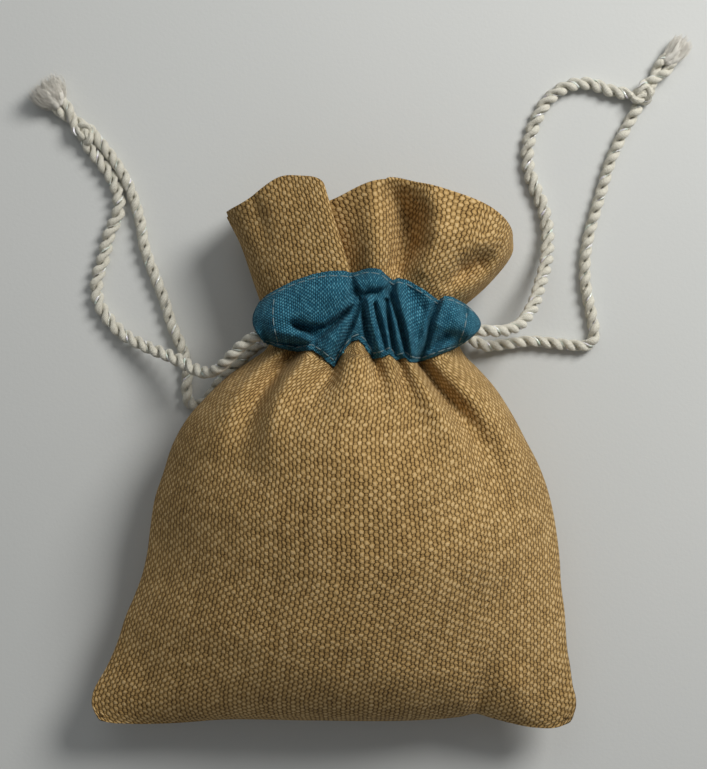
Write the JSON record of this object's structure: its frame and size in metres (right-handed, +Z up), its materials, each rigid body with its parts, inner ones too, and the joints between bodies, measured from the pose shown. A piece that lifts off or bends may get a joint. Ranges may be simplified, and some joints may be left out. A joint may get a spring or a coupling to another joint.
{
  "type": "drawstring pouch",
  "caption": "Small plump canvas drawstring pouch lying on its back, with a contrasting cotton casing band and twisted drawcords knotted at each side.",
  "frame": {"origin": "centre of the pouch's own box, without the free cords, on the table it lies on", "axes": "+Y from the base to the mouth, +Z up through the front panel, +X to the right as seen from the front"},
  "size_m": [0.1438, 0.1468, 0.0381],
  "materials": {
    "canvas": "coarse plain-weave cotton canvas, tan, matt",
    "casing_cotton": "fine plain-weave cotton, mid blue, matt",
    "topstitch_thread": "white sewing thread",
    "seam_thread": "tan sewing thread",
    "cord_yarn": "soft two-ply twisted yarn, off-white with pearly glints",
    "tuft_fibre": "brushed-out loose yarn fibres, off-white"
  },
  "bodies": {
    "pouch": {"front_panel": "canvas", "back_panel": "canvas", "front_casing": "casing_cotton", "back_casing": "casing_cotton", "front_casing_lower_stitches": "topstitch_thread", "front_casing_upper_stitches": "topstitch_thread", "front_casing_end_stitches": "topstitch_thread", "back_casing_lower_stitches": "topstitch_thread", "back_casing_upper_stitches": "topstitch_thread", "back_casing_end_stitches": "topstitch_thread", "left_seam_stitches": "seam_thread", "right_seam_stitches": "seam_thread", "base_seam_stitches": "seam_thread", "left_cord_casing_loop": "cord_yarn", "right_cord_casing_loop": "cord_yarn"},
    "left_drawcord": {"left_front_strand": "cord_yarn", "left_back_strand": "cord_yarn", "left_cord_casing_runs": "cord_yarn", "left_knot": "cord_yarn", "left_tails": "cord_yarn", "left_tuft": "tuft_fibre"},
    "right_drawcord": {"right_front_strand": "cord_yarn", "right_back_strand": "cord_yarn", "right_cord_casing_runs": "cord_yarn", "right_knot": "cord_yarn", "right_tails": "cord_yarn", "right_tuft": "tuft_fibre"}
  },
  "joints": [
    {"name": "left_cord_pull", "type": "slide", "parent": "pouch", "child": "left_drawcord", "axis": [-1, 0, 0], "range_m": [0, 0.022]},
    {"name": "right_cord_pull", "type": "slide", "parent": "pouch", "child": "right_drawcord", "axis": [1, 0, 0], "range_m": [0, 0.022]}
  ]
}
